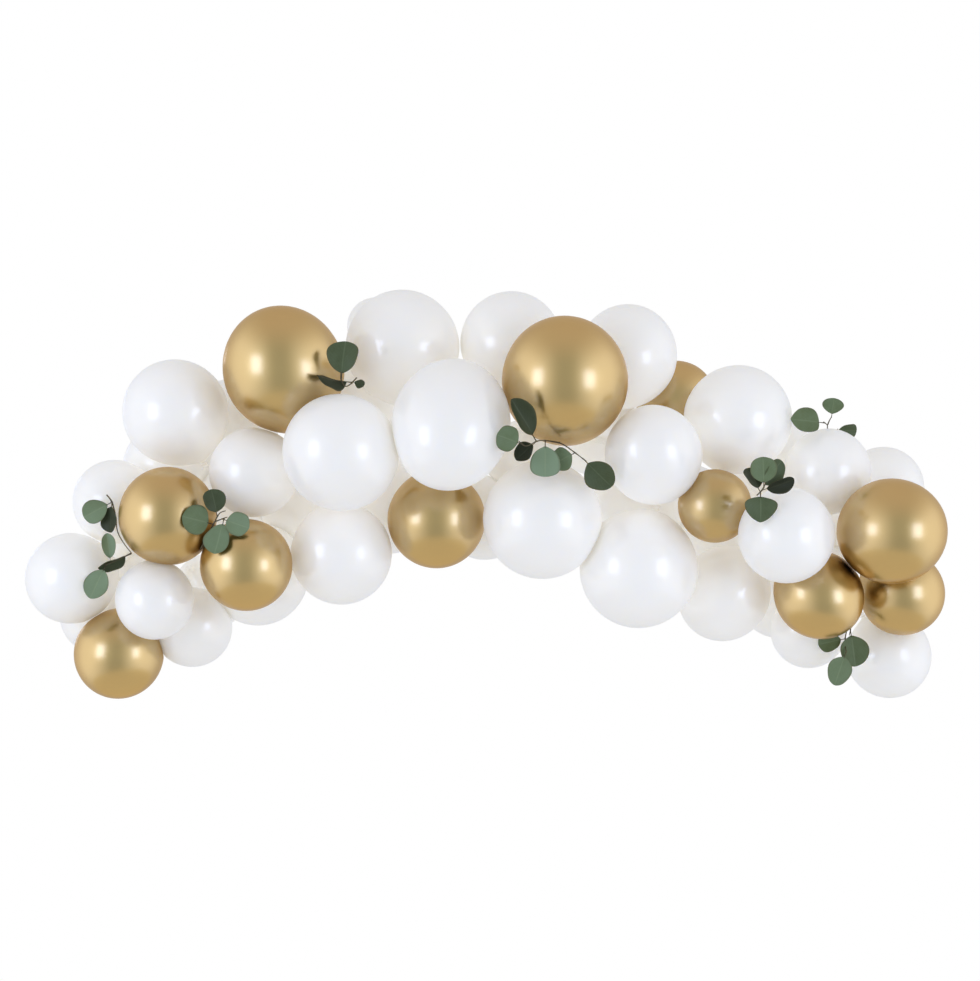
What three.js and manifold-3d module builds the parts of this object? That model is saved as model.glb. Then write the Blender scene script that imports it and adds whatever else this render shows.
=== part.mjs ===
// A balloon garland: white and gold latex balloons held in a shallow arch by a clear
// decorating strip, with short sprigs of round-leaved eucalyptus tucked between them.
//
// Millimetres, +Z up, +X to the right, the front of the garland faces -Y.
// The origin is on the back face of the strip, at the crown of the arch, where the
// garland hangs from its first hook.
import * as THREE from 'three';
import { mergeVertices } from 'three/addons/utils/BufferGeometryUtils.js';
import Module from 'manifold-3d';

const wasm = await Module();
wasm.setup();

// ---------------------------------------------------------------- driving dimensions
const ARCH_RADIUS = 1260;
const STRIP_LENGTH = 1720;
const STRIP_WIDTH = 14;
const STRIP_THICKNESS = 1.2;
const STRIP_STEPS = 20;

const STRETCH = 1.02; // a balloon's length over its width, where nothing else is given
const NECK_SHARE = 0.16; // free neck, knot and lip together, over the half length
const NECK_RADIUS = 5;
const LIP_RADIUS = 8;
const PEAR = 0.1; // how far the shoulder pulls in towards the neck
const PRESS_GAP = 0.3; // between two balloons that press on each other
const FACETS = 10;
const RING_ANGLES = [152, 124, 92, 60, 30]; // from the crown, the neck side first

const STEM_RADIUS = 1.3;
const STEM_SIDES = 5;
const STEM_STEPS = 5;
const LEAF_THICKNESS = 1.2;
const LEAF_CLEARANCE = 1.5;
const PETIOLE_SHARE = 0.16;
const PETIOLE_WIDTH = 2.2;
const LEAF_CURVE_STEPS = 3;
const LEAF_LEAN_STEP = 3;
const LEAF_LEAN_MOST = 60;

// ---------------------------------------------------------------- the arrangement
// Each balloon is placed from the strip's centreline: how far along it from the crown,
// how far out from the arch's centre, how far forward of it, and its width. A balloon
// that is clearly longer than wide also has its length, and the clock direction in
// degrees that its neck leans to, seen from the front, where it isn't towards the strip.
// It leans back by 35 degrees too, or by its own last number.
const GOLD_BALLOONS = [
  [-1005, -145, 40, 192],
  [-710, 10, 145, 206, 215, 180],
  [-610, -160, 160, 194],
  [-385, 190, 120, 256, 281],
  [-135, -185, 60, 210],
  [145, 105, 180, 264, 283, 180],
  [380, 130, -120, 178],
  [515, -65, 130, 156],
  [825, -115, 100, 185, 202, 280],
  [855, 80, 165, 222, 245, 270],
  [975, 10, 25, 183],
];

const WHITE_BALLOONS = [
  [-995, -45, -105, 177],
  [-960, 40, 50, 195],
  [-840, -115, 135, 165, 176, 0],
  [-830, -205, 5, 173],
  [-800, 110, 0, 182],
  [-765, -160, -175, 171],
  [-620, -185, -30, 223],
  [-605, 200, 50, 227],
  [-530, 135, -105, 204],
  [-510, 10, 110, 191],
  [-390, -215, 75, 217],
  [-315, -15, 225, 240, 256, 180],
  [-165, 190, 5, 247],
  [-80, 10, 235, 246, 304, 0, 45],
  [-15, -190, -90, 186],
  [40, 190, -20, 222],
  [130, -185, 135, 251],
  [260, 190, -5, 217, 228],
  [350, -10, 165, 204, 224, 180],
  [400, -245, 95, 252],
  [495, 125, 60, 232],
  [645, -220, -10, 200, 214],
  [675, -55, 215, 200],
  [700, 115, 45, 185],
  [795, -160, -175, 180],
  [820, 165, -70, 180],
  [885, -180, -45, 166],
  [1075, -95, -80, 186],
];

// The row behind the strip, which fills the gaps between the balloons in front.
const BACK_BALLOONS = [
  [-865, 20, -145, 156],
  [-690, 121, -135, 196],
  [-613, -16, -140, 172],
  [-463, -84, -115, 181],
  [-280, 110, -140, 210],
  [-261, -140, -120, 215],
  [77, -57, -85, 170],
  [230, 28, -190, 206],
  [369, -120, -135, 207],
  [619, 92, -130, 214],
  [577, -135, -145, 173],
  [815, 35, -155, 170],
  [-211, 254, -139, 131],
];

// Each sprig is laid on one balloon and measured from that balloon's centre. A twig's
// route is a list of points: right, forward, up. A leaf has its place along the twig
// from 0 to 1, the clock direction of its tip, its length and width, how far the tip
// leans forward, and its roll about its own midrib, the angles in degrees.
const SPRIGS = [
  {
    on: 'white_balloon_12',
    twigs: [{
      route: [[31, -20, 157], [17, -10, 142], [7, 0, 139], [0, 8, 153], [0, 14, 169]],
      leaves: [[0.75, 5, 86, 66, 0, -10], [0.22, -86, 79, 55, 26, 240], [0.2, 97, 26, 26, 5, 50]],
    }],
  },
  {
    on: 'gold_balloon_02',
    twigs: [{
      route: [
        [-134, -30, 46], [-123, -30, 31], [-115, -30, 1], [-111, -30, -31], [-98, -30, -56],
        [-81, -30, -78],
      ],
      leaves: [[0.12, -121, 73, 54, 0, 0], [0.13, -177, 66, 48, 0, 40]],
    }, {
      route: [[-81, -30, -78], [-106, -26, -90], [-129, -14, -102]],
      leaves: [
        [0.8, -7, 63, 31, 0, 15], [0.05, -118, 64, 56, 0, -55], [0.97, -156, 81, 53, 12, 0],
      ],
    }],
  },
  {
    on: 'gold_balloon_03',
    twigs: [{
      route: [[-92, 28, 33], [-75, 44, 62], [-59, 60, 90], [-48, 64, 108], [-36, 62, 113]],
      leaves: [[0.62, -74, 69, 66, 24, 10], [0.8, -12, 58, 54, 0, 20]],
    }, {
      route: [[-59, 60, 90], [-44, 64, 96], [-32, 62, 100]],
      leaves: [[0.6, 108, 63, 53, 17, -10], [0.55, -167, 79, 56, 17, 15]],
    }],
  },
  {
    on: 'white_balloon_17',
    twigs: [{
      route: [[34, 100, 158], [13, 120, 161], [-12, 148, 161], [-37, 164, 150], [-52, 170, 160]],
      leaves: [
        [1, -70, 48, 56, 9, 0], [0.45, -31, 108, 53, 24, 30], [0.7, -119, 50, 41, -10, 30],
        [0.38, -180, 75, 66, -10, 0],
      ],
    }, {
      route: [[13, 120, 161], [38, 118, 155], [62, 116, 139], [88, 104, 120]],
      leaves: [[0.65, -118, 51, 54, -10, 15], [0.9, 135, 87, 64, -10, 10]],
    }],
  },
  {
    on: 'white_balloon_23',
    twigs: [{
      route: [[-66, 45, 83], [-62, 80, 91], [-57, 92, 100], [-55, 96, 110]],
      leaves: [
        [0.8, -2, 62, 58, 5, 0], [0.5, -26, 57, 50, -8, 35], [0.7, 34, 73, 46, -12, 20],
        [0.62, 78, 70, 45, 0, 30], [0.5, -179, 63, 68, 17, 0],
      ],
    }],
  },
  {
    on: 'white_balloon_24',
    twigs: [{
      route: [[11, -62, 84], [5, -35, 94], [-2, 10, 101], [-13, 30, 107]],
      leaves: [[0.93, -85, 94, 55, 30, 10]],
    }, {
      route: [[-1, 8, 101], [2, 14, 110], [6, 18, 118]],
      leaves: [[0.9, 53, 49, 40, 0, -15]],
    }, {
      route: [[11, -62, 84], [21, -57, 90], [31, -52, 94]],
      leaves: [[0.7, 92, 49, 34, -5, 15]],
    }],
  },
  {
    on: 'gold_balloon_09',
    twigs: [{
      route: [
        [76, -78, -46], [69, -70, -63], [70, -62, -80], [66, -54, -97], [64, -40, -113],
        [64, -25, -125],
      ],
      leaves: [[0.6, -102, 59, 34, 0, 15], [0.97, -161, 77, 53, 0, 10]],
    }, {
      route: [[76, -78, -46], [80, -60, -65], [76, -45, -77], [71, -30, -89]],
      leaves: [[0.85, 172, 74, 68, 0, -8]],
    }],
  },
];

// ---------------------------------------------------------------- materials
const goldLatex = new THREE.MeshStandardMaterial({ color: 0xb8975a, roughness: 0.22, metalness: 0.9 });
const whiteLatex = new THREE.MeshStandardMaterial({ color: 0xf1efea, roughness: 0.3, metalness: 0 });
const clearStrip = new THREE.MeshStandardMaterial({ color: 0xe6ebec, roughness: 0.2, metalness: 0 });
const leafGreen = new THREE.MeshStandardMaterial({ color: 0x54705a, roughness: 0.6, metalness: 0 });

// ---------------------------------------------------------------- places
const toRadians = THREE.MathUtils.degToRad;

// A point measured from the strip's centreline. The strip's back face is at Y = 0.
function placeOnArch(station, out, forward) {
  const angle = station / ARCH_RADIUS;
  const radius = ARCH_RADIUS + out;
  const x = radius * Math.sin(angle);
  const z = radius * Math.cos(angle) - ARCH_RADIUS;
  return new THREE.Vector3(x, -forward - STRIP_THICKNESS / 2, z);
}

// The nearest point of the strip's centreline.
function nearestOnStrip(point) {
  const limit = STRIP_LENGTH / 2;
  const angle = Math.atan2(point.x, point.z + ARCH_RADIUS);
  const station = THREE.MathUtils.clamp(angle * ARCH_RADIUS, -limit, limit);
  return placeOnArch(station, 0, 0);
}

// How far a point is from the strip's surface.
function distanceToStrip(point) {
  const near = nearestOnStrip(point);
  const aside = Math.hypot(point.x - near.x, point.z - near.z) - STRIP_WIDTH / 2;
  const before = Math.abs(point.y - near.y) - STRIP_THICKNESS / 2;
  return Math.hypot(Math.max(aside, 0), Math.max(before, 0));
}

// A direction in the front view, from a clock angle, leaned forward by another angle.
function clockDirection(clock, lean) {
  const across = Math.cos(toRadians(lean));
  const x = Math.sin(toRadians(clock)) * across;
  const z = Math.cos(toRadians(clock)) * across;
  return new THREE.Vector3(x, -Math.sin(toRadians(lean)), z);
}

// ---------------------------------------------------------------- balloons
function readBalloon(row, name, material) {
  const [station, out, forward, width, length = width * STRETCH, clock, leanBack = 35] = row;
  const centre = placeOnArch(station, out, forward);
  return { name, material, centre, halfWidth: width / 2, halfLength: length / 2, clock, leanBack };
}

function readRow(rows, stem, material) {
  return rows.map((row, i) => {
    const number = String(i + 1).padStart(2, '0');
    return readBalloon(row, `${stem}_${number}`, material);
  });
}

const balloons = [
  ...readRow(GOLD_BALLOONS, 'gold_balloon', goldLatex),
  ...readRow(WHITE_BALLOONS, 'white_balloon', whiteLatex),
  ...readRow(BACK_BALLOONS, 'back_balloon', whiteLatex),
];

// The balloon's own radius in a direction: it is a spheroid about its neck's axis.
function radiusAlong(balloon, direction) {
  const along = direction.dot(balloon.neck);
  const across = Math.sqrt(Math.max(0, 1 - along * along));
  return 1 / Math.hypot(along / balloon.halfLength, across / balloon.halfWidth);
}

// The flat face that a balloon shares with each neighbour: a unit direction from its
// centre, and how far out the face lies. No part of the balloon passes it.
function sharedFaces(balloon) {
  const faces = [];
  for (const other of balloons) {
    if (other === balloon) {
      continue;
    }
    const direction = other.centre.clone().sub(balloon.centre);
    const distance = direction.length();
    direction.divideScalar(distance);
    const own = radiusAlong(balloon, direction);
    const theirs = radiusAlong(other, direction);
    const reach = (distance * distance + own * own - theirs * theirs) / (2 * distance);
    faces.push({ direction, reach: reach - PRESS_GAP / 2 });
  }
  return faces;
}

// Evenly spread unit directions, on a spiral round the sphere.
function spreadDirections(count) {
  const goldenAngle = Math.PI * (3 - Math.sqrt(5));
  const directions = [];
  for (let i = 0; i < count; i += 1) {
    const height = 1 - (2 * i + 1) / count;
    const radius = Math.sqrt(1 - height * height);
    const x = radius * Math.cos(i * goldenAngle);
    const y = radius * Math.sin(i * goldenAngle);
    directions.push(new THREE.Vector3(x, y, height));
  }
  return directions;
}

const NECK_DIRECTIONS = spreadDirections(900);
const NECK_SPARE = 3;

// The neck points at the strip or leans as given, and turns aside just far enough to
// stay between the neighbours and off the strip.
function tuckNeck(balloon) {
  const wished = balloon.clock === undefined
    ? nearestOnStrip(balloon.centre).sub(balloon.centre).normalize()
    : clockDirection(balloon.clock, -balloon.leanBack);
  balloon.neck = wished;
  const faces = sharedFaces(balloon);
  let best = wished;
  let bestCost = Infinity;
  for (const direction of [wished, ...NECK_DIRECTIONS]) {
    const lip = direction.clone().multiplyScalar(balloon.halfLength * (1 + NECK_SHARE));
    let spare = NECK_SPARE;
    for (const face of faces) {
      spare = Math.min(spare, face.reach - face.direction.dot(lip) - LIP_RADIUS);
    }
    for (const share of [0.4, 0.7, 1]) {
      const reach = balloon.halfLength * (1 + NECK_SHARE * share);
      const point = direction.clone().multiplyScalar(reach).add(balloon.centre);
      spare = Math.min(spare, distanceToStrip(point) - LIP_RADIUS);
    }
    const cost = direction.angleTo(wished) + (NECK_SPARE - spare);
    if (cost < bestCost) {
      bestCost = cost;
      best = direction;
    }
  }
  return best.clone();
}

// The outline from the lip to the crown: radius from the axis, and height along it.
function balloonOutline(balloon) {
  const { halfWidth, halfLength } = balloon;
  const neckEnd = -halfLength * (1 + NECK_SHARE);
  const neckStart = -halfLength * (1 + 0.45 * NECK_SHARE);
  const outline = [
    new THREE.Vector2(0, neckEnd),
    new THREE.Vector2(LIP_RADIUS, neckEnd),
    new THREE.Vector2(NECK_RADIUS, neckStart),
  ];
  for (const degrees of RING_ANGLES) {
    const angle = toRadians(degrees);
    const shoulder = Math.max(0, -Math.cos(angle));
    const radius = halfWidth * Math.sin(angle) * (1 - PEAR * shoulder * shoulder);
    outline.push(new THREE.Vector2(radius, halfLength * Math.cos(angle)));
  }
  outline.push(new THREE.Vector2(0, halfLength));
  return outline;
}

// Points of the bulb that pass a shared face slide back to it along their own radius.
function pressBulb(geometry, balloon) {
  const faces = sharedFaces(balloon);
  const position = geometry.attributes.position;
  const point = new THREE.Vector3();
  for (let i = 0; i < position.count; i += 1) {
    point.fromBufferAttribute(position, i);
    const onNeck = point.dot(balloon.neck) > balloon.halfLength;
    let keep = 1;
    for (const face of faces) {
      const outward = face.direction.dot(point);
      if (!onNeck && outward > face.reach) {
        keep = Math.min(keep, face.reach / outward);
      }
    }
    point.multiplyScalar(keep);
    position.setXYZ(i, point.x, point.y, point.z);
  }
}

function makeBalloon(balloon) {
  const geometry = new THREE.LatheGeometry(balloonOutline(balloon), FACETS);
  const neckward = new THREE.Vector3(0, -1, 0);
  geometry.applyQuaternion(new THREE.Quaternion().setFromUnitVectors(neckward, balloon.neck));
  pressBulb(geometry, balloon);
  const mesh = new THREE.Mesh(geometry, balloon.material);
  mesh.name = balloon.name;
  mesh.position.copy(balloon.centre);
  return mesh;
}

// ---------------------------------------------------------------- the strip
function makeStrip() {
  const halfAngle = STRIP_LENGTH / 2 / ARCH_RADIUS;
  const inner = ARCH_RADIUS - STRIP_WIDTH / 2;
  const outer = ARCH_RADIUS + STRIP_WIDTH / 2;
  const band = new THREE.Shape();
  const corners = [];
  for (let i = 0; i <= STRIP_STEPS; i += 1) {
    const angle = halfAngle * (1 - (2 * i) / STRIP_STEPS);
    corners.push(new THREE.Vector2(inner * Math.sin(angle), inner * Math.cos(angle) - ARCH_RADIUS));
  }
  for (let i = STRIP_STEPS; i >= 0; i -= 1) {
    const angle = halfAngle * (1 - (2 * i) / STRIP_STEPS);
    corners.push(new THREE.Vector2(outer * Math.sin(angle), outer * Math.cos(angle) - ARCH_RADIUS));
  }
  band.setFromPoints(corners);
  const geometry = new THREE.ExtrudeGeometry(band, { depth: STRIP_THICKNESS, bevelEnabled: false });
  geometry.rotateX(Math.PI / 2);
  const mesh = new THREE.Mesh(geometry, clearStrip);
  mesh.name = 'balloon_strip';
  return mesh;
}

// ---------------------------------------------------------------- sprigs
// How far a point is from the nearest balloon's surface, and the way out of it.
function nearestBalloon(point) {
  let spare = Infinity;
  let wayOut = new THREE.Vector3();
  for (const balloon of balloons) {
    const offset = point.clone().sub(balloon.centre);
    const distance = offset.length();
    offset.divideScalar(distance);
    const gap = distance - radiusAlong(balloon, offset);
    if (gap < spare) {
      spare = gap;
      wayOut = offset;
    }
  }
  return { spare, wayOut };
}

// A twig's points, each moved out of any balloon that it would run through.
function clearRoute(points) {
  const needed = STEM_RADIUS + LEAF_CLEARANCE;
  const samples = new THREE.CatmullRomCurve3(points).getSpacedPoints(3 * STEM_STEPS);
  for (const sample of samples) {
    for (let pass = 0; pass < 4; pass += 1) {
      const { spare, wayOut } = nearestBalloon(sample);
      if (spare < needed) {
        sample.addScaledVector(wayOut, needed - spare);
      }
    }
  }
  return new THREE.CatmullRomCurve3(samples);
}

// A round leaf with its short stalk, flat in XY, the tip towards +Y.
function leafOutline(length, width) {
  const stalk = length * PETIOLE_SHARE;
  const side = width * 0.66;
  const half = PETIOLE_WIDTH / 2;
  const outline = new THREE.Shape();
  outline.moveTo(-half, 0);
  outline.lineTo(-half, stalk);
  outline.bezierCurveTo(-side, stalk + length * 0.12, -side, length * 0.97, 0, length);
  outline.bezierCurveTo(side, length * 0.97, side, stalk + length * 0.12, half, stalk);
  outline.lineTo(half, 0);
  return outline;
}

// The leaf's own axes: along it to the tip, across it, and out of its upper face.
function leafAxes(clock, lean, roll) {
  const along = clockDirection(clock, lean);
  const forward = clockDirection(clock, lean + 90);
  const across = along.clone().cross(forward);
  across.applyAxisAngle(along, toRadians(roll));
  return new THREE.Matrix4().makeBasis(across, along, across.clone().cross(along));
}

// Points of the flat leaf's outline and midrib, at which it is tried against the balloons.
function leafProbes(outline, length) {
  const probes = outline.getPoints(LEAF_CURVE_STEPS);
  for (const share of [0.25, 0.4, 0.55, 0.7, 0.85]) {
    probes.push(new THREE.Vector2(0, length * share));
  }
  return probes.map((probe) => new THREE.Vector3(probe.x, probe.y, 0));
}

// The leaf leans further forward until all of it is clear of the balloons.
function makeLeaf(base, [, clock, length, width, lean, roll]) {
  const outline = leafOutline(length, width);
  const probes = leafProbes(outline, length);
  const place = new THREE.Matrix4();
  for (let extra = 0; extra <= LEAF_LEAN_MOST; extra += LEAF_LEAN_STEP) {
    place.copy(leafAxes(clock, lean + extra, roll)).setPosition(base);
    const spares = probes.map((probe) => nearestBalloon(probe.clone().applyMatrix4(place)).spare);
    if (Math.min(...spares) > LEAF_CLEARANCE + LEAF_THICKNESS / 2) {
      break;
    }
  }
  const leaf = new THREE.ExtrudeGeometry(outline, {
    depth: LEAF_THICKNESS,
    curveSegments: LEAF_CURVE_STEPS,
    bevelEnabled: false,
  });
  leaf.translate(0, 0, -LEAF_THICKNESS / 2);
  return leaf.applyMatrix4(place);
}

function makeStem(curve) {
  const section = new THREE.Shape();
  const corners = [];
  for (let i = 0; i < STEM_SIDES; i += 1) {
    const angle = (2 * Math.PI * i) / STEM_SIDES;
    corners.push(new THREE.Vector2(STEM_RADIUS * Math.cos(angle), STEM_RADIUS * Math.sin(angle)));
  }
  section.setFromPoints(corners);
  return new THREE.ExtrudeGeometry(section, { steps: STEM_STEPS, extrudePath: curve });
}

// A closed geometry as a solid that can be joined to others.
function toSolid(geometry) {
  const bare = geometry.clone();
  bare.deleteAttribute('normal');
  bare.deleteAttribute('uv');
  const merged = mergeVertices(bare, 1e-3);
  const mesh = new wasm.Mesh({
    numProp: 3,
    vertProperties: new Float32Array(merged.attributes.position.array),
    triVerts: new Uint32Array(merged.index.array),
  });
  return new wasm.Manifold(mesh);
}

function fromSolid(solid) {
  const { vertProperties, triVerts } = solid.getMesh();
  const geometry = new THREE.BufferGeometry();
  geometry.setAttribute('position', new THREE.BufferAttribute(vertProperties, 3));
  geometry.setIndex(new THREE.BufferAttribute(triVerts, 1));
  geometry.computeVertexNormals();
  return geometry;
}

function makeSprig({ on, twigs }, index) {
  const bed = balloons.find((balloon) => balloon.name === on);
  let solid = null;
  for (const { route, leaves } of twigs) {
    const points = route.map(([right, forward, up]) => (
      new THREE.Vector3(right, -forward, up).add(bed.centre)
    ));
    const curve = clearRoute(points);
    const pieces = [makeStem(curve)];
    for (const leaf of leaves) {
      pieces.push(makeLeaf(curve.getPointAt(leaf[0]), leaf));
    }
    for (const piece of pieces) {
      solid = solid ? solid.add(toSolid(piece)) : toSolid(piece);
    }
  }
  const mesh = new THREE.Mesh(fromSolid(solid), leafGreen);
  mesh.name = `eucalyptus_sprig_${index + 1}`;
  return mesh;
}

// ---------------------------------------------------------------- the garland
for (const balloon of balloons) {
  balloon.neck = nearestOnStrip(balloon.centre).sub(balloon.centre).normalize();
}
for (const balloon of balloons) {
  balloon.neck = tuckNeck(balloon);
}

const garland = new THREE.Group();
garland.add(makeStrip());
for (const balloon of balloons) {
  garland.add(makeBalloon(balloon));
}
SPRIGS.forEach((sprig, index) => {
  garland.add(makeSprig(sprig, index));
});

export default garland;
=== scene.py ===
# %% [markdown]
# # A garland of white and gold balloons
#
# The real object is a party garland about two metres long: latex balloons of mixed
# sizes, tied by their necks to a clear strip with holes, with a few sprigs of
# round-leaved eucalyptus tucked between them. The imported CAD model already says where
# each balloon is, how big it is and which way its neck points. It could be shown as it
# is, but its balloons have ten flat sides and its leaves are flat plates. So this script
# reads the places from the model and builds each piece again, finely, around them.

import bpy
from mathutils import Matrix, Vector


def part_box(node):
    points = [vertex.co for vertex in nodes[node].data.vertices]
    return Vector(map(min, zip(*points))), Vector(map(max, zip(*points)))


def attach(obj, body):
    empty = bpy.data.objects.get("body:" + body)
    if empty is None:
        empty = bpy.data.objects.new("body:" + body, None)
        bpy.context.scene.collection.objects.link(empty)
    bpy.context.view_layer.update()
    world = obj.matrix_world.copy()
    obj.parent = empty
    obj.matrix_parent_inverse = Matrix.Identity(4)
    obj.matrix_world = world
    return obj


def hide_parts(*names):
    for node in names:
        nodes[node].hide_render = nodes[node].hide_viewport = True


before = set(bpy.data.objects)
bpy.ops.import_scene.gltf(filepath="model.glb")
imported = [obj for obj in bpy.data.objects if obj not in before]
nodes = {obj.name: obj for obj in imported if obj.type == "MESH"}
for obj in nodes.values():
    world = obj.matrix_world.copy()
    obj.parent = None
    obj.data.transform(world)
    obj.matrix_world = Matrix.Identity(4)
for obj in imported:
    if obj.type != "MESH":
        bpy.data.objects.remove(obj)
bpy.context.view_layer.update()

# %% Tools that every later cell uses
import math

import bmesh
import bpy
import numpy as np
from mathutils import Matrix, Vector

balloon_names = sorted(name for name in nodes if "balloon_" in name and name[-1].isdigit())
print(len(balloon_names), "balloons")

# %% [markdown]
# ## Working on one piece at a time
#
# Blender's operators act on whatever is selected, and the loaded nodes start selected.
# In a window a modeller clicks the one object they mean. In a script the same habit is a
# small helper that deselects everything, then makes one piece active.


# %% Pick an object, and pick parts of it
def work_on(*pieces):
    bpy.ops.object.select_all(action="DESELECT")
    for piece in pieces:
        piece.select_set(True)
    bpy.context.view_layer.objects.active = pieces[0]


def select_where(piece, test):
    """In edit mode, select exactly the vertices whose place passes the test."""
    mesh = bmesh.from_edit_mesh(piece.data)
    bpy.ops.mesh.select_all(action="DESELECT")
    for vertex in mesh.verts:
        vertex.select = test(vertex.co)
    mesh.select_flush(True)
    bmesh.update_edit_mesh(piece.data)


def edit(on=True):
    bpy.ops.object.mode_set(mode="EDIT" if on else "OBJECT")


work_on(*(nodes[name] for name in balloon_names))
print("picked", len(bpy.context.selected_objects), "balloons out of", len(nodes), "nodes")
bpy.ops.object.select_all(action="DESELECT")


# %% [markdown]
# ## Reading each balloon off the model
#
# A CAD balloon is a turned shape: a small flat lip, a neck, five rings and a crown. The
# new balloon has to sit in exactly that place, and it could be fitted to the bounding
# box, but a box says nothing of the way the neck leans. So the rings are walked from the
# lip instead. The lip's centre and the neck ring give the axis and the length, and the
# widest points that no neighbour has pressed give the width.

# %% Proportions that the CAD balloons share
NECK_SHARE = 0.16
NECK_START_SHARE = 0.45
NECK_REFERENCE = 0.1
NECK_RING = 2
FIRST_BULB_RING = 5
print("the lip stands", NECK_SHARE, "of half a length beyond the bulb")

# %% Walk the rings of one balloon
MERGE_DECIMALS = 6
EDGES_AT_A_POLE = 9


def rings_from_lip(name):
    """The node's merged points, ring by ring, starting from the centre of its lip."""
    mesh = nodes[name].data
    raw = np.array([vertex.co for vertex in mesh.vertices])
    points, merged = np.unique(raw.round(MERGE_DECIMALS), axis=0, return_inverse=True)
    merged = merged.ravel()
    beside = [set() for _ in points]
    for edge in mesh.edges:
        a, b = (int(merged[i]) for i in edge.vertices)
        if a != b:
            beside[a].add(b)
            beside[b].add(a)
    poles = [i for i, near in enumerate(beside) if len(near) >= EDGES_AT_A_POLE]
    reach = {
        i: np.mean([np.linalg.norm(points[j] - points[i]) for j in beside[i]]) for i in poles
    }
    rings = [{min(poles, key=reach.get)}]
    seen = set(rings[0])
    while rings[-1]:
        ring = set().union(*(beside[i] for i in rings[-1])) - seen
        seen |= ring
        rings.append(ring)
    return [points[sorted(ring)] for ring in rings[:-1]]


print(balloon_names[0], "has", len(rings_from_lip(balloon_names[0])), "rings")


# %% Measure every balloon
def measure_balloon(name):
    rings = rings_from_lip(name)
    lip, neck_ring = rings[0][0], rings[NECK_RING].mean(axis=0)
    half_length = np.linalg.norm(lip - neck_ring) / (NECK_SHARE * (1 - NECK_START_SHARE))
    neck = (lip - neck_ring) / np.linalg.norm(lip - neck_ring)
    centre = lip - neck * half_length * (1 + NECK_SHARE)
    crown_side = np.vstack(rings[FIRST_BULB_RING:-1]) - centre
    height = crown_side @ neck
    aside = np.linalg.norm(crown_side - np.outer(height, neck), axis=1)
    half_width = (aside / np.sqrt(1 - (height / half_length) ** 2)).max()
    return {"centre": centre, "neck": neck, "a": half_length, "b": half_width}


balloons = {name: measure_balloon(name) for name in balloon_names}
widths = sorted(round(2000 * balloon["b"]) for balloon in balloons.values())
print("widths from", widths[0], "to", widths[-1], "mm")

# %% [markdown]
# ## The outline of one balloon
#
# An inflated balloon is nearly a sphere that draws in to a funnel, then a tight knot, a
# short tail and the rolled lip it was dipped with. It could start from a sphere
# primitive with the neck pulled out of its pole, but a potter's way is closer to the
# real thing: draw half of the outline once as a chain of edges, and spin it round its
# axis. The bulb has radius 1 here, and each copy is stretched to its own size later.

# %% Points of the outline, from the crown down to the lip
PEAR = 0.1
BULB_STEPS = 30
BULB_END = math.radians(150)
SPIN_STEPS = 48


def bulb_point(angle):
    shoulder = max(0.0, -math.cos(angle))
    return math.sin(angle) * (1 - PEAR * shoulder**2), math.cos(angle)


def bezier(p0, p1, p2, p3, steps):
    for i in range(1, steps + 1):
        t = i / steps
        k = ((1 - t) ** 3, 3 * (1 - t) ** 2 * t, 3 * (1 - t) * t * t, t**3)
        yield tuple(sum(w * p[axis] for w, p in zip(k, (p0, p1, p2, p3))) for axis in (0, 1))


bulb = [bulb_point(BULB_END * i / BULB_STEPS) for i in range(BULB_STEPS + 1)]
funnel = list(bezier(bulb[-1], (0.252, -0.991), (0.058, -1.01), (0.048, -1.068), 8))
knot = [(0.062, -1.074), (0.07, -1.084), (0.064, -1.095), (0.046, -1.101)]
tail = [(0.048, -1.112), (0.056, -1.13), (0.068, -1.145)]
lip = [(0.077, -1.148), (0.08, -1.154), (0.076, -1.16), (0.068, -1.158), (0.062, -1.145)]
mouth = [(0, -1.14)]
outline = bulb + funnel + knot + tail + lip + mouth
print(len(outline), "points in the outline")

# %% Extrude one vertex along the outline, then spin it
bpy.ops.object.select_all(action="DESELECT")
bpy.ops.mesh.primitive_plane_add(size=0.01, location=(0, 0, 0))
master_balloon = bpy.context.object
master_balloon.name = "balloon_master"
edit()
bpy.ops.mesh.merge(type="CENTER")
bpy.ops.transform.translate(value=(outline[0][0], 0, outline[0][1]))
for (r0, z0), (r1, z1) in zip(outline, outline[1:]):
    bpy.ops.mesh.extrude_region_move(TRANSFORM_OT_translate={"value": (r1 - r0, 0, z1 - z0)})
bpy.ops.mesh.select_all(action="SELECT")
bpy.ops.mesh.spin(steps=SPIN_STEPS, angle=2 * math.pi, center=(0, 0, 0), axis=(0, 0, 1))
bpy.ops.mesh.select_all(action="SELECT")
bpy.ops.mesh.remove_doubles(threshold=1e-5)
bpy.ops.mesh.normals_make_consistent(inside=False)
edit(False)
bpy.ops.object.shade_smooth()
print("one balloon:", len(master_balloon.data.polygons), "faces")

# %% [markdown]
# ## Pleats by the knot
#
# Where thick latex gathers into the knot it folds into fine pleats. They could be drawn
# with bump alone, but they break the funnel's outline, so they belong in the mesh. Every
# third line of vertices on the funnel and the tail is drawn in a little, and the tight
# knot between them is left round.

# %% Draw in every third line of vertices
PLEAT_DEPTH = 0.93
PLEAT_EVERY = 3
PLEATS_LOW, PLEATS_HIGH = -1.15, -1.0
KNOT_HEIGHT, KNOT_HALF = -1.085, 0.02


def on_pleat(place):
    line = round(math.atan2(place.y, place.x) / (2 * math.pi) * SPIN_STEPS)
    in_knot = abs(place.z - KNOT_HEIGHT) <= KNOT_HALF
    return PLEATS_LOW < place.z < PLEATS_HIGH and not in_knot and line % PLEAT_EVERY == 0


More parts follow.
